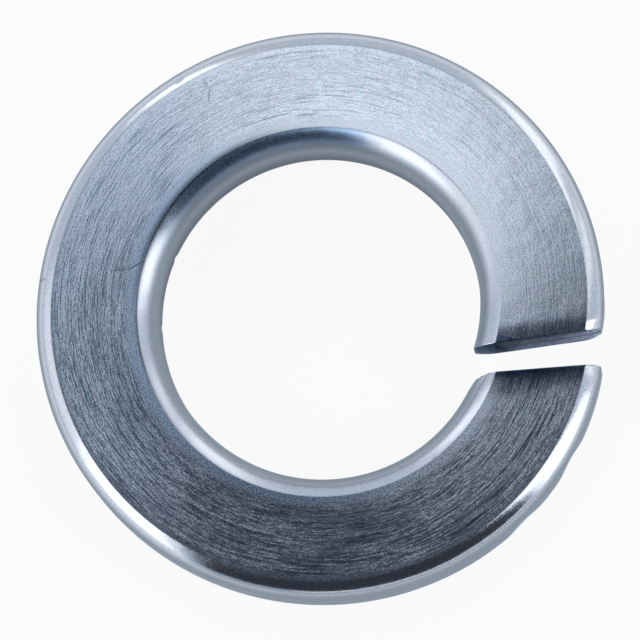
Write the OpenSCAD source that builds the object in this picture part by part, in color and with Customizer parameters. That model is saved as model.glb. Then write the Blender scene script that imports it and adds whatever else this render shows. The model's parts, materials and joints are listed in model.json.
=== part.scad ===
// Spring lock washer for a 10 mm bolt: one turn of a left-hand coil of rolled wire, sheared off at a skewed cut.
// Millimetres and degrees. The bore axis is Z, the lowest point lies at z = 0 and the gap opens towards +X.
// A turn is an angle round the axis, clockwise seen from above, which is the way the coil climbs.

/* [Ring] */
// Outer diameter of the ring
outer_d = 18.1; // [15:0.1:24]
// Diameter of the bore
bore_d = 10.3; // [8:0.1:12]
// Rise of the coil in one full turn
rise = 2.9; // [1.5:0.1:5]

/* [Wire] */
// Thickness of the wire at the middle of the rim
thick = 2.2; // [1.8:0.05:3.5]
// Slope of each flat, which leaves the wire thicker at the bore than at the rim
flat_slope = 1.5; // [0:0.1:4]
// Radius of the rolled edges at the rim
rim_round = 0.5; // [0.2:0.05:0.7]
// Radius of the rolled edges at the bore
bore_round = 0.65; // [0.2:0.05:0.8]

/* [Cut] */
// Gap between the two ends, along the middle of the rim
gap = 0.42; // [0.2:0.02:2]
// Turn of the middle of the gap from the X axis
gap_turn = 11; // [0:0.5:40]
// Angle between the radius and the cut of the upper end
upper_skew = 17.5; // [0:0.5:25]
// Angle between the radius and the cut of the lower end
lower_skew = 16.5; // [0:0.5:25]
// Lean of both cut faces, which undercuts the upper end
cut_lean = 3.2; // [0:0.1:8]

/* [Hidden] */

// Rings of points along the coil, and flats on each rolled edge
rings = 120;
edge_flats = 6;
// How far the wire stands proud of bore and rim before both are trimmed round
proud = 0.02;
// How far the trimming ring runs past the coil, above and below
trim_over = 1;

rim_r = outer_d / 2;
bore_r = bore_d / 2;
mid_r = (rim_r + bore_r) / 2;

// Turns at which the middle of the rim starts and ends
half_gap = gap / 2 / mid_r * 180 / PI;
lower_turn = gap_turn + half_gap;
upper_turn = gap_turn + 360 - half_gap;

// Section of the wire as [radius, height above the wire's middle], anticlockwise from the lower flat
function edge_height(r, round) = thick / 2 - (round + (r - mid_r) * sin(flat_slope)) / cos(flat_slope);
function edge_arc(r, z, round, from, to) = [
    for (i = [0:edge_flats])
        let (a = from + (to - from) * i / edge_flats)
        [r + round * cos(a), z + round * sin(a)]
];
rim_edge_r = rim_r + proud - rim_round;
rim_edge_z = edge_height(rim_edge_r, rim_round);
bore_edge_r = bore_r - proud + bore_round;
bore_edge_z = edge_height(bore_edge_r, bore_round);
flat_normal = 90 - flat_slope;
section = concat(
    edge_arc(rim_edge_r, -rim_edge_z, rim_round, -flat_normal, 0),
    edge_arc(rim_edge_r, rim_edge_z, rim_round, 0, flat_normal),
    edge_arc(bore_edge_r, bore_edge_z, bore_round, flat_normal, 180),
    edge_arc(bore_edge_r, -bore_edge_z, bore_round, 180, 360 - flat_normal)
);
sides = len(section);

// Turn at which the line of the wire at radius r and height z meets a flat cut.
// The cut passes the middle of the rim at turn t, and each try follows the coil's climb more closely.
function cut_turn(r, z, t, skew, tries = 4) =
    let (
        near = tries == 0 ? t : cut_turn(r, z, t, skew, tries - 1),
        height = z + rise * (near - t) / 360
    )
    t - skew + asin((mid_r * sin(skew) + height * tan(cut_lean)) / r);
starts = [for (p = section) cut_turn(p[0], p[1], lower_turn, lower_skew)];
ends = [for (p = section) cut_turn(p[0], p[1], upper_turn, upper_skew)];

// Height of the wire's middle at turn 0, which sets the foot of the lower end on z = 0
base_z = -min([for (k = [0:sides - 1]) section[k][1] + rise * starts[k] / 360]);
top_z = base_z + rise * max(ends) / 360 + thick;

function on_coil(p, t) = [p[0] * cos(t), -p[0] * sin(t), base_z + rise * t / 360 + p[1]];

// The wire swept along the coil from one cut to the other
module coil() {
    points = [
        for (i = [0:rings], k = [0:sides - 1])
            on_coil(section[k], starts[k] + (ends[k] - starts[k]) * i / rings)
    ];
    skin = [
        for (i = [0:rings - 1], k = [0:sides - 1])
            let (
                a = i * sides + k,
                b = i * sides + (k + 1) % sides
            )
            each [[a, a + sides, b + sides], [a, b + sides, b]]
    ];
    lower_end = [for (k = [0:sides - 1]) k];
    upper_end = [for (k = [sides - 1:-1:0]) rings * sides + k];
    polyhedron(points, concat(skin, [lower_end, upper_end]), convexity = 6);
}

// The round space between bore and rim that the coil is trimmed to
module round_limits() {
    translate([0, 0, -trim_over])
        difference() {
            cylinder(d = outer_d, h = top_z + 2 * trim_over, $fn = 180);
            translate([0, 0, -trim_over])
                cylinder(d = bore_d, h = top_z + 4 * trim_over, $fn = 180);
        }
}

module spring_washer() {
    color("#c3ccd6")
        intersection() {
            coil();
            round_limits();
        }
}

spring_washer();
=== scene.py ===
"""Spring lock washer in bright zinc plate: models the coil and its finish, and sets the stage."""

import json
import math
from types import SimpleNamespace

import bmesh
import bpy
from mathutils import Euler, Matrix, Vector


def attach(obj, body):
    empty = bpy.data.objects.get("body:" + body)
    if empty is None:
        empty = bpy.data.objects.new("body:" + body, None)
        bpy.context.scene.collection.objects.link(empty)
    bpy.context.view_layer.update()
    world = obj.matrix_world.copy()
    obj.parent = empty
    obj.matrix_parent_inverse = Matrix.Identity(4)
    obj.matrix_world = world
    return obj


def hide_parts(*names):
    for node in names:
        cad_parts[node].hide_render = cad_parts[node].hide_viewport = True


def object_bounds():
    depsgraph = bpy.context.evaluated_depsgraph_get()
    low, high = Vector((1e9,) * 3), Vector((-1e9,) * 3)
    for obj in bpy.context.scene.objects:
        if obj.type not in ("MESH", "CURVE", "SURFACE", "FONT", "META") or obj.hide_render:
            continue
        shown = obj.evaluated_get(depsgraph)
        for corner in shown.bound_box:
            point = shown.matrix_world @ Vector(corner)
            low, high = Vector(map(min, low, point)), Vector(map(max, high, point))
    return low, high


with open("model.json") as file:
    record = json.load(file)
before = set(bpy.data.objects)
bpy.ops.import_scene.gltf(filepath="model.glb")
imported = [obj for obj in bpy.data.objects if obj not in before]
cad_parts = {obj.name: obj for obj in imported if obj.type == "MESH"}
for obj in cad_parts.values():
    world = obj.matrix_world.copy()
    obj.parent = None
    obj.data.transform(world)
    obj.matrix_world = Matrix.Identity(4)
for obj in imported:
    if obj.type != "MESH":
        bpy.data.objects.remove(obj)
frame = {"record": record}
CAD_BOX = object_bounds()

bl_info = {
    "name": "Spring Lock Washer",
    "version": (1, 0, 0),
    "blender": (4, 5, 0),
    "location": "View3D > Sidebar > Lock Washer",
    "description": "Models a zinc-plated spring lock washer and the studio it lies in",
    "category": "Object",
}

MM = 0.001
NODE = "spring_washer"
BORE = frame["record"]["mounts"][0]["dims"]
# Height of the middle of the washer
MIDDLE_Z = (CAD_BOX[0][2] + CAD_BOX[1][2]) / 2

# Rings of points along the coil, and points across the parts of its section
RINGS = 720
EDGE_STEPS = 10
FLAT_CUTS = 27
WALL_CUTS = 3
# The rolled edges bulge a little less than a quarter circle, so they meet the flats at a faint crease
EDGE_BULGE = 0.42
TINY = 1e-7
# Upright share of a normal above which a face belongs to a flat
LEVEL = math.cos(math.radians(6))
# Material slot of the sheared ends, after that of the wire
CUT = 1

# How far the marks of the shear reach from the cuts: the rolled-down edge, the burr, the knocked-in
# corner, the worn lower half, and the lower end's worn corners at the rim and at the bore
DIE_ROLL_REACH, BURR_REACH, KNOCK_REACH, WORN_REACH = 0.5 * MM, 0.6 * MM, 0.36 * MM, 0.8 * MM
RIM_CORNER_REACH, BORE_CORNER_REACH = 0.3 * MM, 0.6 * MM
# Width, from the rim or from the bore, of the part of the cut that each of the last four starts at
KNOCK_WIDTH, WORN_WIDTH, RIM_CORNER_WIDTH, BORE_CORNER_WIDTH = 0.3 * MM, 0.1 * MM, 0.12 * MM, 0.2 * MM
# Knocks in the edges and the rim: turn in degrees, then in millimetres radius, height, push off the axis,
# push upward, and reach
DENTS = (
    (172, 8.93, 3.4, -0.02, -0.02, 0.18),
    (121, 8.93, 4.2, -0.015, -0.015, 0.18),
    (156, 5.16, 2.02, 0.06, 0.03, 0.2),
    (182, 5.16, 1.8, 0.05, 0.03, 0.18),
    (331.5, 9.04, 0.75, -0.07, 0, 0.9),
    (315.5, 9.04, 0.85, -0.06, 0, 0.9),
)
# Size of the waves that rolling left in the surface
WAVE_SIZE = 0.7 * MM

# Length and width of the drawn streaks in millimetres, and the detail in them. The real ones are finer,
# and are drawn more than a pixel wide so that they show.
FINE, BROAD, DASHES = (1.1, 0.036, 2), (4.0, 0.12, 2), (0.18, 0.036, 1)
# The patches in which the drawing left the flats duller or brighter
PATCHES = (2.2, 0.8, 1)
# Middle level of the streaks' height
STREAK_LEVEL = 1.18
# Crystal grains of the plate and speckles of its tint in a millimetre, drawn coarse enough to show
GRAINS, SPECKLES = 18.0, 17.0
# In millimetres, half the width in which a flat or a scratch runs out, and half the width of a scratch
EDGE_LINE, SCRATCH_LINE = 0.03, 0.055
# Fine scratches on top: turn and radius at each end, in degrees and millimetres, and darkness
SCRATCHES = (
    (168.4, 6.75, 167.0, 6.2, 0.4),
    (167.0, 6.2, 163.6, 5.8, 0.9),
    (173.0, 8.98, 172.4, 8.82, 0.5),
    (116.2, 8.4, 116.4, 8.05, 0.3),
    (116.0, 8.0, 117.6, 7.6, 0.4),
    (117.2, 7.4, 114.0, 7.25, 0.35),
)
# Turns from the X axis, in degrees, between which a change in the plate eases in, holds and eases out
IN_FRONT = (215, 255, 315, 345)
AT_THE_LEFT = (95, 150, 260, 310)
BLUE_FILM = (67, 82, 130, 165)
# Share of each other colour where it is strongest: the dark blue painted shade beside the upper and the
# lower cut, the bluer flat at the left and its margin, the blue film, the grey, the lavender, the brighter
# plate of the rolled edges, and the painted shade low in the bore
CUT_SHADE_ABOVE, CUT_SHADE_BELOW, BLUER_FLAT, BLUER_MARGIN = 0.42, 0.82, 0.25, 0.65
FILM, GREY, LAVENDER, ROLLED, BORE_SHADE = 0.6, 0.18, 0.5, 0.7, 0.75
# Share of painted shade in the rolled-down edge of a sheared end, and in the step where it tore
BROW, TORN_STEP = 0.75, 0.85
# Share of the streaks that is left at the upper end
STREAKS_LEFT = 0.42
# Painted shade in the creases beside the flat: the edge that each follows, its place off that edge and
# its half width in millimetres, its darkness, and its turns
CREASES = (
    ("bore", -0.02, 0.055, 0.45, (15, 50, 190, 250)),
    ("bore", -0.03, 0.06, 0.8, (110, 130, 190, 225)),
    ("bore", 0.02, 0.17, 0.65, (90, 125, 150, 195)),
    ("rim", 0.0, 0.055, 0.3, (20, 50, 190, 220)),
)
# Tint of the plate at a grazing angle, on the wire and on the sheared ends
GRAZING, CUT_GRAZING = (0.62, 0.68, 0.76, 1), (0.55, 0.62, 0.73, 1)

# The studio around the washer, as angles in degrees about a line leant back from the zenith
STUDIO_LEAN = 5
# Brightness of the tent around it, and of its foot
TENT, HORIZON = 0.74, 0.82
# The light overhead rises from dim to bright towards this azimuth, between two angles off the line
OVERHEAD = (148, 6, 18.5, 0.06, 1.9)
# Each panel by its azimuth, half width, angle off the line, half height, softness of its sides,
# softness of its ends, and brightness. It lies over those before it.
PANELS = (
    ("dim front", 287.5, 52.5, 19, 12, 4, 4, 0.09),
    ("dark front", 283.5, 44, 48, 32, 3, 4, 0.045),
    ("below the front", 284, 46, 93, 12, 4, 2, 0.5),
    ("gap below the front", 296, 32, 81.5, 1.5, 4, 1, 1.5),
    ("beside the left", 188, 20, 45, 30, 8, 6, 1.12),
    ("left", 218.5, 15, 48, 39, 4, 5, 1.9),
    ("left skirt", 219, 16, 88, 10, 6, 6, 1.0),
    ("right", 344.5, 13, 54.5, 34.5, 3, 4, 1.9),
    ("rear right", 56, 10.5, 55, 29, 6, 6, 1.55),
    ("rear right second", 30, 7, 52, 22, 6, 6, 1.25),
    ("rear left", 127, 7, 46, 22, 5, 6, 1.9),
)
# Casts of the darkest and of the dim parts of the studio
DEEP, COOL = (0.88, 1.0, 1.26), (0.8, 1.0, 1.22)
# Width of the paper, and the share of its own white in what the camera sees of it
PAPER_SIZE, PAPER_GLOW = 2.0, 0.9

# The camera's line of sight: off the bore axis, towards an azimuth, and from a distance
CAMERA_TILT = math.radians(12.71)
CAMERA_AZIMUTH = math.radians(-69.58)
CAMERA_DISTANCE = 164.65 * MM
# The photograph's frame, and the scale and place of the washer's middle in it
PHOTO_WIDTH = 640
PIXELS_PER_MM = 31.41
WASHER_PIXEL = (320.90, 317.66)


def linear(code):
    """Linear colour of an sRGB hex code."""
    parts = [int(code[i:i + 2], 16) / 255 for i in (1, 3, 5)]
    return tuple(c / 12.92 if c <= 0.04045 else ((c + 0.055) / 1.055) ** 2.4 for c in parts)


def length(name, description, millimetres):
    return bpy.props.FloatProperty(
        name=name, description=description, default=millimetres * MM, min=0.0,
        precision=5, subtype="DISTANCE", unit="LENGTH")


def angle(name, description, degrees):
    return bpy.props.FloatProperty(
        name=name, description=description, default=math.radians(degrees), subtype="ANGLE", unit="ROTATION")


def share(name, description, value):
    return bpy.props.FloatProperty(
        name=name, description=description, default=value, min=0.0, max=1.0, subtype="FACTOR")


def colour(name, description, code):
    return bpy.props.FloatVectorProperty(
        name=name, description=description, default=linear(code), min=0.0, max=1.0, size=3, subtype="COLOR")


class WasherSizes(bpy.types.PropertyGroup):
    """Real sizes of the washer"""
    outer_d: length("Outer diameter", "Diameter of the ring", (CAD_BOX[1][0] - CAD_BOX[0][0]) / MM)
    bore_d: length("Bore", "Diameter of the hole", 2 * BORE["r_mm"])
    rise: length("Rise", "Climb of the coil in one full turn", 2.9)
    thick: length("Thickness", "Thickness of the wire at the middle of the rim", 2.2)
    flat_slope: angle("Flat slope", "Slope of each flat, which leaves the wire thicker at the bore", 1.5)
    rim_round: length("Rim edge radius", "Radius of the rolled edges at the rim", 0.52)
    bore_round: length("Bore edge radius", "Radius of the rolled edges at the bore", 0.68)
    gap: length("Gap", "Gap between the ends, along the middle of the rim", 0.42)
    gap_turn: angle("Gap turn", "Turn of the gap's middle from the X axis, clockwise from above", 11.0)
    cut_skew: angle("Cut skew", "Angle between the radius and the cut", 17.0)
    cut_lean: angle("Cut lean", "Lean of the cut faces", 3.2)
    cut_break: length("Cut edge break", "Width of the worn edge around each cut", 0.03)
    die_roll: length("Die roll", "Depth to which the shear drew the upper end's flat down at its cut", 0.034)
    burr: length("Burr", "Height to which the shear drew the lower end's flat up at its cut", 0.03)
    tuck: length("Tuck", "Distance by which the ends' corners are knocked in or worn", 0.06)
    waviness: length("Waviness", "Height of the waves that rolling left in the surface", 0.006)


class ZincFinish(bpy.types.PropertyGroup):
    """Look of the plated steel"""
    plate: colour("Zinc plate", "Bright zinc under a clear bluish passivation", "#c7d1de")
    violet: colour("Violet tint", "Thicker patches of the passivation", "#cfc8e6")
    green: colour("Green tint", "Thinner patches of the passivation", "#bbd4de")
    rolled: colour("Rolled edge", "Brighter, more neutral plate on the rolled edges", "#cdd1dc")
    streak: colour("Streak", "Lavender cast of the matt streaks in front", "#d2c8d8")
    groove: colour("Groove", "Plate in the bottom of the drawn grooves", "#5f7189")
    # Painted shade: the walls of the bore and the outside are darker than the plate
    wall_shade: colour("Wall", "Painted shade: darker plate on the bore and the outside", "#99a3af")
    # Painted shade, darker towards the bottom of the bore
    bore_shade: colour("Bore shade", "Painted shade, darker and browner, low down in the bore", "#5c5d66")
    cut: colour("Cut", "Duller plate on the sheared ends", "#7f8fa9")
    film: colour("Film", "Zinc plate where its film turns blue", "#7fb2e6")
    grey: colour("Grey", "Greyer zinc plate at the right and the back", "#ccd1cf")
    margin: colour("Margin blue", "Bluer plate beside the bore at the left", "#8ca9cc")
    # Painted shade next to the cuts
    cut_shade: colour("Cut shade", "Dark blue painted shade next to the cuts", "#48688f")
    # One dark for the real scratches and for the painted shade in the creases and on the sheared ends
    scratch_and_shade: colour("Scratch and shade", "Dark of the scratches, and painted shade in the creases, the rolled-down edges and the torn steps", "#28334a")
    streak_depth: length("Streak depth", "Depth of the drawn grooves in the flats", 0.0025)
    flat_roughness: share("Flat roughness", "Roughness of the drawn flats between the streaks", 0.15)
    streak_roughness: share("Streak roughness", "Roughness of the streaks in the flats", 0.34)
    rim_roughness: share("Rim roughness", "Roughness of the rolled edge at the rim", 0.14)
    bore_roughness: share("Bore roughness", "Roughness of the rolled edge at the bore", 0.26)
    wall_roughness: share("Wall roughness", "Roughness of the bore and the outside", 0.38)
    cut_roughness: share("Cut roughness", "Roughness of the sheared ends", 0.34)
    score_depth: length("Score depth", "Depth of the upright scores on the sheared ends", 0.03)


def pick(mesh_object, kind, test):
    """Selects only the elements of that kind that pass the test, in edit mode."""
    bpy.ops.mesh.select_all(action="DESELECT")
    bpy.ops.mesh.select_mode(type={"verts": "VERT", "edges": "EDGE"}[kind])
    shape = bmesh.from_edit_mesh(mesh_object.data)
    for element in getattr(shape, kind):
        if test(element):
            element.select_set(True)
    shape.select_flush_mode()
    bmesh.update_edit_mesh(mesh_object.data)


def wire_section(sizes):
    """Wire outline of the keystone section, standing on the radius at turn 0."""
    outer_r, bore_r = sizes.outer_d / 2, sizes.bore_d / 2
    width, mid_r = outer_r - bore_r, (outer_r + bore_r) / 2
    middle = (mid_r, 0, 0)
    bpy.ops.object.select_all(action="DESELECT")
    bpy.ops.mesh.primitive_plane_add(size=1, location=middle, rotation=(math.pi / 2, 0, 0))
    section = bpy.context.object
    bpy.ops.object.transform_apply(location=True, rotation=True, scale=True)
    bpy.ops.object.mode_set(mode="EDIT")
    bpy.ops.transform.resize(value=(width, 1, sizes.thick), center_override=middle)
    spread = width * math.tan(sizes.flat_slope) / sizes.thick
    for side, factor in ((-1, 1 + spread), (1, 1 - spread)):
        pick(section, "verts", lambda v: (v.co.x - mid_r) * side > 0)
        bpy.ops.transform.resize(value=(1, 1, factor), center_override=middle)
    for side, radius in ((-1, sizes.bore_round), (1, sizes.rim_round)):
        pick(section, "verts", lambda v: abs(v.co.x - mid_r - side * width / 2) < TINY)
        bpy.ops.mesh.bevel(offset=radius, segments=EDGE_STEPS, profile=EDGE_BULGE, affect="VERTICES")
    bpy.ops.mesh.select_all(action="SELECT")
    bpy.ops.mesh.delete(type="ONLY_FACE")
    pick(section, "edges", lambda e: abs(e.verts[0].co.x - e.verts[1].co.x) > width / 2)
    bpy.ops.mesh.subdivide(number_cuts=FLAT_CUTS)
    pick(section, "edges", lambda e: abs(e.verts[0].co.z - e.verts[1].co.z) > sizes.thick / 4)
    bpy.ops.mesh.subdivide(number_cuts=WALL_CUTS)
    return section, mid_r


def coil(sizes):
    """The wire swept along the coil, from one slanting cut to the other."""
    section, mid_r = wire_section(sizes)
    outer_r, bore_r = sizes.outer_d / 2, sizes.bore_d / 2
    # A slanting cut runs further than the radius does to reach the rim and the bore
    skew = sizes.cut_skew
    to_rim, to_bore = [math.sqrt(r ** 2 - (mid_r * math.sin(skew)) ** 2) - mid_r * math.cos(skew)
                       for r in (outer_r, bore_r)]
    middle = (mid_r, 0, 0)
    bpy.ops.mesh.select_all(action="SELECT")
    bpy.ops.transform.resize(value=((to_rim - to_bore) / (outer_r - bore_r), 1, 1), center_override=middle)
    bpy.ops.transform.translate(value=((to_rim + to_bore) / 2, 0, 0))
    bpy.ops.transform.rotate(value=-sizes.cut_lean, orient_axis="X", center_override=middle)
    bpy.ops.transform.rotate(value=-skew, orient_axis="Z", center_override=middle)
    half_gap = sizes.gap / 2 / mid_r
    start = sizes.gap_turn + half_gap
    bpy.ops.transform.rotate(value=start, orient_axis="Z", center_override=(0, 0, 0))
    bpy.ops.object.mode_set(mode="OBJECT")
    sweep = 2 * math.pi - 2 * half_gap
    screw = section.modifiers.new("Coil", "SCREW")
    screw.axis = "Z"
    screw.angle = -sweep
    screw.screw_offset = sizes.rise * sweep / (2 * math.pi)
    screw.steps = screw.render_steps = RINGS
    screw.use_smooth_shade = True
    bpy.ops.object.modifier_apply(modifier=screw.name)
    return section


def is_cut(element):
    return any(face.material_index == CUT for face in element.link_faces)


def drag(offset, reach, falloff="SHARP"):
    """Moves the selection, and the surface within reach of it less and less."""
    bpy.ops.transform.translate(
        value=offset, use_proportional_edit=True, use_proportional_connected=True,
        proportional_edit_falloff=falloff, proportional_size=reach)


def close_ends(ring, half_height):
    """Fills the two cuts, and keeps the creases sharp."""
    ring.active_material_index = CUT
    for side in (-1, 1):
        pick(ring, "edges", lambda e: e.is_boundary and (e.verts[0].co.z - half_height) * side > 0)
        bpy.ops.mesh.edge_face_add()
        bpy.ops.object.material_slot_assign()
    bpy.ops.mesh.select_all(action="SELECT")
    bpy.ops.mesh.normals_make_consistent(inside=False)
    # The crease between each flat and the rolled edges beside it
    pick(ring, "edges", lambda e: sum(abs(face.normal.z) > LEVEL for face in e.link_faces) == 1)
    bpy.ops.mesh.mark_sharp()


def shear_marks(ring, sizes, half_height):
    """Shapes what the shear did at the cuts: a rolled-down edge above, a burr below, and worn edges."""
    outer_r, bore_r, tuck = sizes.outer_d / 2, sizes.bore_d / 2, sizes.tuck

    def at_cut(v, side, lowest_normal, from_radius=0.0):
        return (is_cut(v) and (v.co.z - half_height) * side > 0
                and v.normal.z > lowest_normal and v.co.xy.length > from_radius)

    pick(ring, "verts", lambda v: at_cut(v, 1, 0.4))
    drag((0, 0, -sizes.die_roll), DIE_ROLL_REACH)
    pick(ring, "verts", lambda v: at_cut(v, -1, 0.4))
    drag((0, 0, sizes.burr), BURR_REACH)
    # The upper end's corner at the rim is knocked in, and its lower half worn back
    pick(ring, "verts", lambda v: at_cut(v, 1, 0.1, outer_r - KNOCK_WIDTH))
    drag((-tuck / 2, 0, -tuck / 2), KNOCK_REACH, "SMOOTH")
    pick(ring, "verts", lambda v: at_cut(v, 1, -1, outer_r - WORN_WIDTH))
    drag((-tuck, tuck, 0), WORN_REACH)
    # The lower end's corners are worn round at the rim and at the bore
    pick(ring, "verts", lambda v: at_cut(v, -1, -1, outer_r - RIM_CORNER_WIDTH))
    drag((-tuck, -tuck / 2, 0), RIM_CORNER_REACH)
    bore_corner = bore_r + BORE_CORNER_WIDTH
    pick(ring, "verts", lambda v: is_cut(v) and v.co.z < half_height and v.co.xy.length < bore_corner)
    drag((tuck, -1.5 * tuck, 0), BORE_CORNER_REACH)
    pick(ring, "edges", lambda e: sum(face.material_index == CUT for face in e.link_faces) == 1)
    bpy.ops.mesh.bevel(offset=sizes.cut_break, segments=2, profile=0.5)


def dents(ring):
    """Knocks in the edges and the rim."""
    for turn, radius, height, outward, upward, reach in DENTS:
        turned = Euler((0, 0, math.radians(turn)))
        place, push = Vector((radius, 0, height)) * MM, Vector((outward, 0, upward)) * MM
        place.rotate(turned)
        push.rotate(turned)
        shape = bmesh.from_edit_mesh(ring.data)
        nearest = min((v.co - place).length for v in shape.verts)
        pick(ring, "verts", lambda v: (v.co - place).length < nearest + TINY)
        drag(push, reach * MM, "SMOOTH")


def wave(ring, sizes):
    """Leaves the faint waves of rolled wire in the whole surface."""
    clouds = bpy.data.textures.new("rolling_waves", "CLOUDS")
    clouds.noise_scale = WAVE_SIZE
    ripple = ring.modifiers.new("Waves", "DISPLACE")
    ripple.texture = clouds
    ripple.texture_coords = "LOCAL"
    ripple.mid_level = 0.5
    ripple.strength = sizes.waviness
    bpy.ops.object.modifier_apply(modifier=ripple.name)


class LOCKWASHER_OT_ring(bpy.types.Operator):
    """Models the washer as one turn of rolled wire and gives it its zinc finish"""
    bl_idname = "lock_washer.ring"
    bl_label = "Washer"
    bl_options = {"REGISTER", "UNDO"}

    def execute(self, context):
        sizes, finish = context.scene.washer_sizes, context.scene.zinc_finish
        ring = coil(sizes)
        ring.name = ring.data.name = "zinc_lock_washer"
        ring.data.materials.clear()
        ring.data.materials.append(rolled_zinc(finish, sizes))
        ring.data.materials.append(sheared_zinc(finish, sizes))
        low, high = [f(v.co.z for v in ring.data.vertices) for f in (min, max)]
        half_height = (high - low) / 2
        bpy.ops.object.mode_set(mode="EDIT")
        bpy.ops.mesh.select_all(action="SELECT")
        bpy.ops.transform.translate(value=(0, 0, CAD_BOX[0][2] - low))
        close_ends(ring, half_height)
        shear_marks(ring, sizes, half_height)
        dents(ring)
        bpy.ops.object.mode_set(mode="OBJECT")
        wave(ring, sizes)
        bpy.ops.object.shade_smooth_by_angle(angle=math.radians(30))
        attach(ring, "root")
        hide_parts(NODE)
        return {"FINISHED"}


def add(tree, kind, inputs=None, output=0, **settings):
    """Adds a shader node with its settings, links or sets its inputs, and gives its output or outputs."""
    node = tree.nodes.new("ShaderNode" + kind)
    for name, value in settings.items():
        setattr(node, name, value)
    for key, value in (inputs or {}).items():
        if isinstance(value, bpy.types.NodeSocket):
            tree.links.new(value, node.inputs[key])
        else:
            node.inputs[key].default_value = value
    return node.outputs[output] if node.outputs else None


def blank(name):
    """New material, and its node tree with nothing in it."""
    material = bpy.data.materials.new(name)
    material.use_nodes = True
    material.node_tree.nodes.clear()
    return material, material.node_tree


def band(tree, value, start, full, fall, end):
    """One from full to fall, easing to nothing at start and end."""
    rise = add(tree, "MapRange", {0: value, 1: start, 2: full}, interpolation_type="SMOOTHSTEP")
    drop = add(tree, "MapRange", {0: value, 1: end, 2: fall}, interpolation_type="SMOOTHSTEP")
    return add(tree, "Math", {0: rise, 1: drop}, operation="MULTIPLY")


class Wire:
    """Where a point of the surface lies on the wire, in millimetres, as sockets in one material's tree."""

    def __init__(self, tree, sizes):
        self.tree, self.gap, self.gap_turn = tree, sizes.gap / MM, sizes.gap_turn
        self.cut_skew = math.tan(sizes.cut_skew)
        self.bore_r, self.outer_r = sizes.bore_d / 2 / MM, sizes.outer_d / 2 / MM
        self.mid_r = (self.outer_r + self.bore_r) / 2
        self.flat_from = self.bore_r + sizes.bore_round / MM
        self.flat_to = self.outer_r - sizes.rim_round / MM
        # Turned so that the gap, where the angle jumps, comes to the angle's own jump
        turned = add(tree, "VectorRotate", {"Vector": add(tree, "TexCoord", output="Object"),
                                            "Angle": math.pi + sizes.gap_turn}, rotation_type="Z_AXIS")
        x, y, z = add(tree, "SeparateXYZ", {0: turned}, output=slice(3))
        turn = add(tree, "Math", {0: y, 1: x}, operation="ARCTAN2")
        # Along the wire from opposite the gap, off the bore axis, and up off the climb
        self.along = add(tree, "Math", {0: turn, 1: self.mid_r}, operation="MULTIPLY")
        across = add(tree, "CombineXYZ", {0: x, 1: y})
        radius = add(tree, "VectorMath", {0: across}, output="Value", operation="LENGTH")
        self.radius = add(tree, "Math", {0: radius, 1: 1 / MM}, operation="MULTIPLY")
        height = add(tree, "Math", {0: z, 1: 1 / MM}, operation="MULTIPLY")
        climb = sizes.rise / (2 * math.pi) / MM
        self.height = add(tree, "Math", {0: turn, 1: climb, 2: height}, operation="MULTIPLY_ADD")
        self.place = add(tree, "CombineXYZ", {0: self.along, 1: self.radius, 2: self.height})

    def along_at(self, turn):
        """Place along the wire of a turn from the X axis, in degrees."""
        return (math.radians(turn - 180) + self.gap_turn) * self.mid_r

    def between(self, turns):
        """One from the second of four turns to the third, easing to nothing at the first and the last."""
        return band(self.tree, self.along, *[self.along_at(turn) for turn in turns])

    def level(self):
        """One on the flats, up to their creases."""
        return band(self.tree, self.radius, self.flat_from - EDGE_LINE, self.flat_from + EDGE_LINE,
                    self.flat_to - EDGE_LINE, self.flat_to + EDGE_LINE)

    def drawn(self):
        """One on the part of the flats that the die drew."""
        return band(self.tree, self.radius, self.flat_from + 0.15, self.flat_from + 0.5,
                    self.flat_to - 0.25, self.flat_to)

    def worn(self):
        """How strong the streaks are. They fade towards the upper end."""
        return add(self.tree, "MapRange", {0: self.along, 1: self.along_at(0), 2: self.along_at(90),
                                           3: STREAKS_LEFT, 4: 1})


def tinted_plate(tree, finish, place):
    """Zinc colour with the faint violet and green speckle of a clear passivation."""
    patches = add(tree, "TexNoise", {"Vector": place, "Scale": SPECKLES, "Detail": 1.0}, output="Color")
    violet, green = add(tree, "SeparateXYZ", {0: patches}, output=slice(2))
    plate = (*finish.plate, 1)
    for patch, tint in ((violet, finish.violet), (green, finish.green)):
        amount = add(tree, "MapRange", {0: patch, 1: 0.48, 2: 0.7}, interpolation_type="SMOOTHSTEP")
        plate = add(tree, "Mix", {0: amount, 6: plate, 7: (*tint, 1)}, output=2, data_type="RGBA")
    return plate


def streaks(tree, place, length_mm, width_mm, detail):
    """Noise drawn out along the wire, in streaks of that length and width."""
    scaled = add(tree, "VectorMath", {0: place, 1: (1 / length_mm, 1 / width_mm, 1 / width_mm)},
                 operation="MULTIPLY")
    return add(tree, "TexNoise", {"Vector": scaled, "Scale": 1.0, "Detail": detail})


def drawing_marks(tree, wire):
    """What drawing and plating left in the flats: streaks, duller patches, and the plate's grain."""
    fine = streaks(tree, wire.place, *FINE)
    grooves = add(tree, "Math", {0: streaks(tree, wire.place, *BROAD), 1: 0.35, 2: fine},
                  operation="MULTIPLY_ADD")
    grooves = add(tree, "Math", {0: streaks(tree, wire.place, *DASHES), 1: grooves}, operation="ADD")
    # Counted from their middle level, so that they run out level where the drawn part ends
    grooves = add(tree, "Math", {0: grooves, 1: -STREAK_LEVEL}, operation="ADD")
    grain = add(tree, "TexNoise", {"Vector": wire.place, "Scale": GRAINS, "Detail": 1.0})
    return SimpleNamespace(fine=fine, grooves=grooves, grain=grain, drawn=wire.drawn(), worn=wire.worn(),
                           patches=streaks(tree, wire.place, *PATCHES))


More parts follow.
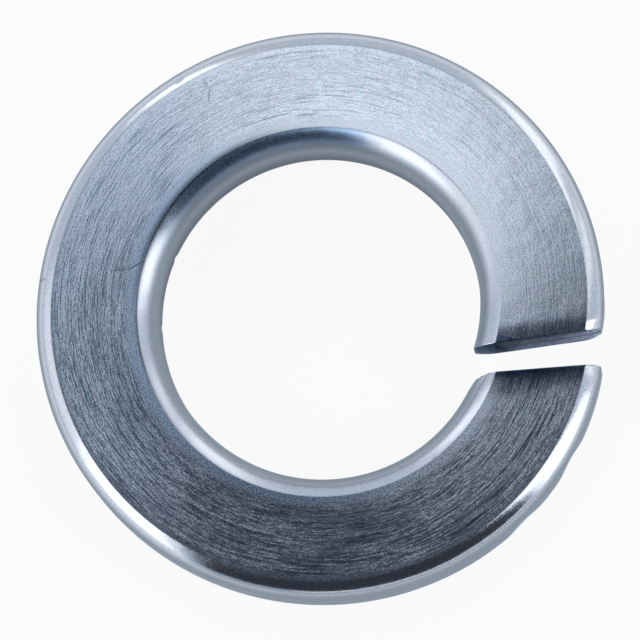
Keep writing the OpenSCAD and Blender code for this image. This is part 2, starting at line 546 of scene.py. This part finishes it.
def relief(tree, marks, depth):
    """Bump of the grooves, which are shallow beside the drawn part, and of the grain."""
    grooves = add(tree, "MapRange", {0: marks.drawn, 3: 0.04, 4: 1})
    for amount in (marks.worn, marks.grooves):
        grooves = add(tree, "Math", {0: grooves, 1: amount}, operation="MULTIPLY")
    height = add(tree, "Math", {0: marks.grain, 1: 0.3, 2: grooves}, operation="MULTIPLY_ADD")
    return add(tree, "Bump", {"Strength": 1.0, "Distance": depth, "Height": height})


def matt_streaks(tree, wire, marks, cut_shade):
    """Share of matt plate in the flats. A matt streak looks light where the flat mirrors the dark, and
    dark where it mirrors a light."""
    matt = add(tree, "MapRange", {0: marks.grooves, 1: -0.25, 2: 0.3}, interpolation_type="SMOOTHSTEP")
    patchy = add(tree, "MapRange", {0: marks.patches, 1: 0.7, 2: 0.35, 3: 0.55, 4: 1},
                 interpolation_type="SMOOTHSTEP")
    matt = add(tree, "Math", {0: matt, 1: patchy}, operation="MULTIPLY")
    # The margins that the die didn't draw are matt all over, most of all beside the bore
    undrawn = add(tree, "MapRange", {0: wire.radius, 1: wire.flat_from + 0.5, 2: wire.flat_to - 0.3,
                                     3: 0.85, 4: 0.2})
    matt = add(tree, "Mix", {0: marks.drawn, 2: undrawn, 3: matt})
    # The grain breaks the streaks up
    broken = add(tree, "MapRange", {0: marks.grain, 1: 0.38, 2: 0.6, 3: 0.55, 4: 1.1})
    # The matt streaks fade where the painted shade next to the cuts lies
    unshaded = add(tree, "MapRange", {0: cut_shade, 3: 1, 4: 0.35})
    for amount in (broken, unshaded, marks.worn):
        matt = add(tree, "Math", {0: matt, 1: amount}, operation="MULTIPLY")
    return matt


def dull_streaks(tree, marks):
    """Share of dark plate in the deepest of the fine grooves, stronger in the duller patches."""
    dull = add(tree, "MapRange", {0: marks.fine, 1: 0.52, 2: 0.32}, interpolation_type="SMOOTHSTEP")
    patchy = add(tree, "MapRange", {0: marks.patches, 1: 0.35, 2: 0.7, 3: 0.5, 4: 1},
                 interpolation_type="SMOOTHSTEP")
    for amount in (patchy, marks.drawn, marks.worn):
        dull = add(tree, "Math", {0: dull, 1: amount}, operation="MULTIPLY")
    return dull


def scratches(tree, wire):
    """Darkness of the fine scratches across the flat."""
    darkness = 0.0
    for turn, start, end_turn, end, depth in SCRATCHES:
        middle = add(tree, "MapRange", {0: wire.radius, 1: start, 2: end, 3: wire.along_at(turn),
                                        4: wire.along_at(end_turn)}, clamp=False)
        aside = add(tree, "Math", {0: wire.along, 1: middle}, operation="SUBTRACT")
        beside = band(tree, aside, -SCRATCH_LINE, 0, 0, SCRATCH_LINE)
        within = band(tree, wire.radius, end - EDGE_LINE, end + EDGE_LINE,
                      start - EDGE_LINE, start + EDGE_LINE)
        line = add(tree, "Math", {0: beside, 1: within}, operation="MULTIPLY")
        line = add(tree, "Math", {0: line, 1: depth}, operation="MULTIPLY")
        darkness = add(tree, "Math", {0: darkness, 1: line}, operation="MAXIMUM")
    return darkness


def creases(tree, wire):
    """Darkness of the painted shade in the fine creases between the flat and its edges."""
    darkness = 0.0
    for edge, aside, width, depth, turns in CREASES:
        crease = {"bore": wire.flat_from, "rim": wire.flat_to}[edge] + aside
        line = band(tree, wire.radius, crease - width, crease, crease, crease + width)
        line = add(tree, "Math", {0: line, 1: wire.between(turns)}, operation="MULTIPLY")
        line = add(tree, "Math", {0: line, 1: depth}, operation="MULTIPLY")
        darkness = add(tree, "Math", {0: darkness, 1: line}, operation="MAXIMUM")
    return darkness


def beside_cuts(tree, wire):
    """Share of the dark blue painted shade next to the cuts, stronger at the lower end."""
    slant = add(tree, "Math", {0: wire.radius, 1: wire.cut_skew, 2: -wire.mid_r * wire.cut_skew},
                operation="MULTIPLY_ADD")
    aside = add(tree, "Math", {0: wire.along, 1: slant}, operation="SUBTRACT")
    aside = add(tree, "Math", {0: aside}, operation="ABSOLUTE")
    ends = math.pi * wire.mid_r - wire.gap / 2
    near = add(tree, "MapRange", {0: aside, 1: ends - 0.75, 2: ends - 0.05}, interpolation_type="SMOOTHSTEP")
    strength = add(tree, "MapRange", {0: wire.along, 1: -1, 2: 1, 3: CUT_SHADE_ABOVE, 4: CUT_SHADE_BELOW})
    return add(tree, "Math", {0: near, 1: strength}, operation="MULTIPLY")


def margin_blue(tree, wire, level):
    """Share of bluer plate in the flats at the left and in front, highest on their margin beside the bore."""
    bluer = add(tree, "Math", {0: wire.between(AT_THE_LEFT), 1: level}, operation="MULTIPLY")
    inmost = add(tree, "MapRange", {0: wire.radius, 1: wire.flat_from + 0.5, 2: wire.flat_from + 0.15,
                                    3: BLUER_FLAT, 4: BLUER_MARGIN}, interpolation_type="SMOOTHSTEP")
    return add(tree, "Math", {0: bluer, 1: inmost}, operation="MULTIPLY")


def film_and_grey(tree, wire):
    """Share of the blue film on the rolled edge at the bore at the back, and share of the grey that the
    rest of the plate has there and at the right."""
    inner = add(tree, "MapRange", {0: wire.radius, 1: wire.flat_from + 0.04, 2: wire.flat_from - 0.04})
    film = add(tree, "Math", {0: wire.between(BLUE_FILM), 1: inner}, operation="MULTIPLY")
    film = add(tree, "Math", {0: film, 1: FILM}, operation="MULTIPLY")
    grey = add(tree, "MapRange", {0: wire.along, 1: wire.along_at(135), 2: wire.along_at(105),
                                  3: 0, 4: GREY})
    return film, add(tree, "Mix", {0: inner, 2: grey, 3: 0.0})


def dulled_and_shaded_walls(tree, wire):
    """Share of duller walls of the bore and the outside, whose plate is painted darker as shade, and
    share of painted shade low down in the bore.
    """
    to_bore = add(tree, "MapRange", {0: wire.radius, 1: wire.flat_from - 0.25, 2: wire.bore_r + 0.12},
                  interpolation_type="SMOOTHSTEP")
    to_rim = add(tree, "MapRange", {0: wire.radius, 1: wire.flat_to + 0.33, 2: wire.outer_r - 0.03},
                 interpolation_type="SMOOTHSTEP")
    middle = MIDDLE_Z / MM
    # Painted shade: the bore gets darker towards its bottom
    bore_shade = add(tree, "MapRange", {0: wire.height, 1: middle + 0.7, 2: middle - 0.5, 3: 0, 4: BORE_SHADE},
               interpolation_type="SMOOTHSTEP")
    bore_shade = add(tree, "Math", {0: to_bore, 1: bore_shade}, operation="MULTIPLY")
    return add(tree, "Math", {0: to_bore, 1: to_rim}, operation="MAXIMUM"), bore_shade


def dark_grain(tree, marks, level):
    """Share of dark plate in the grain, fainter on the rolled edges."""
    dark = add(tree, "MapRange", {0: marks.grain, 1: 0.55, 2: 0.25}, interpolation_type="SMOOTHSTEP")
    shown = add(tree, "MapRange", {0: level, 3: 0.22, 4: 0.5})
    return add(tree, "Math", {0: dark, 1: shown}, operation="MULTIPLY")


def lavender_streaks(tree, wire, marks, matt):
    """Share of lavender in the matt streaks in front."""
    lavender = matt
    for amount in (wire.between(IN_FRONT), marks.drawn, LAVENDER):
        lavender = add(tree, "Math", {0: lavender, 1: amount}, operation="MULTIPLY")
    return lavender


def rolled_zinc(finish, sizes):
    """Bright zinc plate on drawn and rolled wire: dense fine streaks run along its flats, and its
    rolled edges stay smooth, so they draw each light out into a clean line."""
    material, tree = blank("bright_zinc_on_rolled_wire")
    wire = Wire(tree, sizes)
    level, marks = wire.level(), drawing_marks(tree, wire)
    # Dark blue painted shade next to the cuts, on the flats
    cut_shade = add(tree, "Math", {0: beside_cuts(tree, wire), 1: level}, operation="MULTIPLY")
    matt = matt_streaks(tree, wire, marks, cut_shade)
    film, grey = film_and_grey(tree, wire)
    # Duller walls painted darker as shade, and painted shade low in the bore
    walls, bore_shade = dulled_and_shaded_walls(tree, wire)
    # Real scratches, and painted shade in the creases
    lines = add(tree, "Math", {0: scratches(tree, wire), 1: creases(tree, wire)}, operation="MAXIMUM")

    plate = add(tree, "Mix", {0: dull_streaks(tree, marks), 6: tinted_plate(tree, finish, wire.place),
                              7: (*finish.groove, 1)}, output=2, data_type="RGBA")
    rolled = add(tree, "Mix", {0: ROLLED, 6: plate, 7: (*finish.rolled, 1)}, output=2, data_type="RGBA")
    plate = add(tree, "Mix", {0: level, 6: rolled, 7: plate}, output=2, data_type="RGBA")
    for amount, tint in ((margin_blue(tree, wire, level), finish.margin), (film, finish.film),
                         (grey, finish.grey), (walls, finish.wall_shade), (bore_shade, finish.bore_shade),
                         (dark_grain(tree, marks, level), finish.groove),
                         (lavender_streaks(tree, wire, marks, matt), finish.streak),
                         (cut_shade, finish.cut_shade), (lines, finish.scratch_and_shade)):
        plate = add(tree, "Mix", {0: amount, 6: plate, 7: (*tint, 1)}, output=2, data_type="RGBA")

    flats = add(tree, "Mix", {0: matt, 2: finish.flat_roughness, 3: finish.streak_roughness})
    edges = add(tree, "MapRange", {0: wire.radius, 1: wire.flat_from, 2: wire.flat_to,
                                   3: finish.bore_roughness, 4: finish.rim_roughness})
    speckle = add(tree, "MapRange", {0: marks.grain, 1: 0.35, 2: 0.65, 3: -0.025, 4: 0.03})
    edges = add(tree, "Math", {0: edges, 1: speckle}, operation="ADD")
    edges = add(tree, "Mix", {0: walls, 2: edges, 3: finish.wall_roughness})
    shader = add(tree, "BsdfPrincipled", {
        "Base Color": plate, "Metallic": 1.0, "Roughness": add(tree, "Mix", {0: level, 2: edges, 3: flats}),
        "Specular Tint": GRAZING, "Normal": relief(tree, marks, finish.streak_depth),
        "Anisotropic": 0.5, "Anisotropic Rotation": 0.25,
        "Tangent": add(tree, "Tangent", direction_type="RADIAL", axis="Z")})
    add(tree, "OutputMaterial", {"Surface": shader})
    return material


def sheared_zinc(finish, sizes):
    """Zinc plate on sheared steel: duller than the flats, with upright scores, a smooth band above and a
    torn one below, and painted shade along its top edge and in the step between them, so that it looks
    split in two by a dark step. The raised scores carry a painted highlight."""
    material, tree = blank("bright_zinc_on_sheared_ends")
    wire = Wire(tree, sizes)
    scores = add(tree, "VectorMath", {0: wire.place, 1: (1, 7, 0.9)}, operation="MULTIPLY")
    scores = add(tree, "TexNoise", {"Vector": scores, "Scale": 1.0, "Detail": 3.0})
    bump = add(tree, "Bump", {"Strength": 1.0, "Distance": finish.score_depth, "Height": scores})
    # Painted highlight: the plate is lighter on the raised scores
    shine = add(tree, "MapRange", {0: scores, 1: 0.3, 2: 0.7, 3: 0, 4: 0.5}, interpolation_type="SMOOTHSTEP")
    plate = add(tree, "Mix", {0: shine, 6: (*finish.cut, 1), 7: tinted_plate(tree, finish, wire.place)},
                output=2, data_type="RGBA")
    # Painted shade down from the top: dark at the edge that rolled down, then the sheared band, dark again
    # in the step where it tore, then the torn band
    top = (MIDDLE_Z + sizes.thick / 2) / MM
    depth = add(tree, "Math", {0: top, 1: wire.height}, operation="SUBTRACT")
    depth = add(tree, "Math", {0: scores, 1: 0.5, 2: depth}, operation="MULTIPLY_ADD")
    brow = add(tree, "MapRange", {0: depth, 1: 0.85, 2: 0.5, 3: 0, 4: BROW}, interpolation_type="SMOOTHSTEP")
    step = band(tree, depth, 1.05, 1.2, 1.35, 1.6)
    step = add(tree, "Math", {0: step, 1: TORN_STEP}, operation="MULTIPLY")
    dark = add(tree, "Math", {0: brow, 1: step}, operation="MAXIMUM")
    plate = add(tree, "Mix", {0: dark, 6: plate, 7: (*finish.scratch_and_shade, 1)}, output=2, data_type="RGBA")
    shader = add(tree, "BsdfPrincipled", {
        "Base Color": plate, "Metallic": 1.0, "Roughness": finish.cut_roughness,
        "Specular Tint": CUT_GRAZING, "Normal": bump})
    add(tree, "OutputMaterial", {"Surface": shader})
    return material


def overhead_light(tree, towards, fall, light):
    """Lays the light overhead over that of the tent."""
    across, start, end, dim, bright = OVERHEAD
    across, start, end = math.radians(across), math.sin(math.radians(start)), math.sin(math.radians(end))
    ramp = add(tree, "VectorMath", {0: towards, 1: (math.cos(across), math.sin(across), 0)},
               output="Value", operation="DOT_PRODUCT")
    ramp = add(tree, "MapRange", {0: ramp, 1: start, 2: end, 3: dim, 4: bright},
               interpolation_type="SMOOTHSTEP")
    overhead = add(tree, "MapRange", {0: fall, 1: math.radians(28), 2: math.radians(14)},
                   interpolation_type="SMOOTHSTEP")
    return add(tree, "Mix", {0: overhead, 2: light, 3: ramp})


def panel(tree, azimuth, fall, light, angles, brightness):
    """Lays one soft-edged panel over the light so far."""
    turn, half_width, down, half_height, side_soft, end_soft = [math.radians(a) for a in angles]
    aside = add(tree, "Math", {0: azimuth, 1: turn}, operation="SUBTRACT")
    aside = add(tree, "Math", {0: aside, 1: math.pi, 2: -math.pi}, operation="WRAP")
    sides = band(tree, aside, -half_width - side_soft, side_soft - half_width,
                 half_width - side_soft, half_width + side_soft)
    ends = band(tree, fall, down - half_height - end_soft, down - half_height + end_soft,
                down + half_height - end_soft, down + half_height + end_soft)
    inside = add(tree, "Math", {0: sides, 1: ends}, operation="MULTIPLY")
    return add(tree, "Mix", {0: inside, 2: light, 3: brightness})


def studio_light():
    """World of pale tent and soft panels, bluer in its dark parts."""
    world = bpy.data.worlds.new("studio")
    world.use_nodes = True
    tree = world.node_tree
    tree.nodes.clear()
    towards = add(tree, "TexCoord", output="Generated")
    towards = add(tree, "VectorRotate", {"Vector": towards, "Angle": math.radians(STUDIO_LEAN)},
                  rotation_type="X_AXIS")
    x, y, z = add(tree, "SeparateXYZ", {0: towards}, output=slice(3))
    azimuth = add(tree, "Math", {0: y, 1: x}, operation="ARCTAN2")
    fall = add(tree, "Math", {0: z}, operation="ARCCOSINE")
    light = add(tree, "MapRange", {0: fall, 1: math.radians(60), 2: math.radians(100), 3: TENT, 4: HORIZON},
                interpolation_type="SMOOTHSTEP")
    light = overhead_light(tree, towards, fall, light)
    for name, *angles, brightness in PANELS:
        light = panel(tree, azimuth, fall, light, angles, brightness)
    neutral = add(tree, "MapRange", {0: light, 1: 0, 2: 1.2})
    lit = add(tree, "MapRange", {0: light, 1: 0.05, 2: 0.35})
    cast = add(tree, "Mix", {0: lit, 6: (*DEEP, 1), 7: (*COOL, 1)}, output=2, data_type="RGBA")
    cast = add(tree, "Mix", {0: neutral, 6: cast, 7: (1, 1, 1, 1)}, output=2, data_type="RGBA")
    add(tree, "OutputWorld", {"Surface": add(tree, "Background", {"Color": cast, "Strength": light})})
    return world


def white_paper():
    """Smooth white paper, lit through so that it looks clear white, and keeps the washer's shadow."""
    paper, tree = blank("white_paper")
    shown = add(tree, "Math", {0: add(tree, "LightPath", output="Is Camera Ray"),
                               1: add(tree, "LightPath", output="Is Glossy Ray")}, operation="MAXIMUM")
    shown = add(tree, "Math", {0: shown, 1: add(tree, "LightPath", output="Is Transmission Ray")},
                operation="MAXIMUM")
    lit = add(tree, "Math", {0: shown, 1: PAPER_GLOW}, operation="MULTIPLY")
    matt = add(tree, "BsdfDiffuse", {"Color": (*linear("#f4f4f4"), 1)})
    glow = add(tree, "Emission", {"Color": (1, 1, 1, 1), "Strength": 1.0})
    add(tree, "OutputMaterial", {"Surface": add(tree, "MixShader", {0: lit, 1: matt, 2: glow})})
    return paper


def camera(scene):
    """Camera over the washer, turned as the photograph was taken."""
    away = Vector((math.sin(CAMERA_TILT) * math.cos(CAMERA_AZIMUTH),
                   math.sin(CAMERA_TILT) * math.sin(CAMERA_AZIMUTH),
                   math.cos(CAMERA_TILT)))
    turn = Vector((0, 0, 1)).rotation_difference(away)
    right, up = turn @ Vector((1, 0, 0)), turn @ Vector((0, 1, 0))
    middle = Vector((0, 0, MIDDLE_Z))
    half = PHOTO_WIDTH / 2
    middle -= right * (WASHER_PIXEL[0] - half) / PIXELS_PER_MM * MM
    middle -= up * (half - WASHER_PIXEL[1]) / PIXELS_PER_MM * MM
    bpy.ops.object.camera_add(location=middle + away * CAMERA_DISTANCE)
    view = bpy.context.object
    view.name = "photo_camera"
    view.rotation_euler = turn.to_euler()
    view.data.sensor_width = 36
    view.data.lens = view.data.sensor_width * CAMERA_DISTANCE / (PHOTO_WIDTH / PIXELS_PER_MM * MM)
    view.data.clip_start = 0.01
    scene.camera = view


class LOCKWASHER_OT_stage(bpy.types.Operator):
    """Lays the white paper, the soft light and the camera"""
    bl_idname = "lock_washer.stage"
    bl_label = "Stage"
    bl_options = {"REGISTER", "UNDO"}

    def execute(self, context):
        bpy.ops.object.select_all(action="DESELECT")
        bpy.ops.mesh.primitive_plane_add(size=PAPER_SIZE, location=(0, 0, 0))
        floor = context.object
        floor.name = "floor"
        floor.data.materials.append(white_paper())
        context.scene.world = studio_light()
        camera(context.scene)
        context.scene.view_settings.view_transform = "Standard"
        return {"FINISHED"}


class LOCKWASHER_PT_panel(bpy.types.Panel):
    """Sizes, finish and steps of the washer"""
    bl_idname = "LOCKWASHER_PT_panel"
    bl_label = "Lock Washer"
    bl_space_type = "VIEW_3D"
    bl_region_type = "UI"
    bl_category = "Lock Washer"

    def draw(self, context):
        layout = self.layout
        for group in (context.scene.washer_sizes, context.scene.zinc_finish):
            box = layout.box()
            for name in group.__annotations__:
                box.prop(group, name)
        layout.operator(LOCKWASHER_OT_ring.bl_idname)
        layout.operator(LOCKWASHER_OT_stage.bl_idname)


CLASSES = (WasherSizes, ZincFinish, LOCKWASHER_OT_ring, LOCKWASHER_OT_stage, LOCKWASHER_PT_panel)


def register():
    for kind in CLASSES:
        bpy.utils.register_class(kind)
    bpy.types.Scene.washer_sizes = bpy.props.PointerProperty(type=WasherSizes)
    bpy.types.Scene.zinc_finish = bpy.props.PointerProperty(type=ZincFinish)


def unregister():
    del bpy.types.Scene.zinc_finish
    del bpy.types.Scene.washer_sizes
    for kind in reversed(CLASSES):
        bpy.utils.unregister_class(kind)


def main():
    register()
    bpy.ops.lock_washer.ring()
    bpy.ops.lock_washer.stage()


if __name__ == "__main__":
    main()
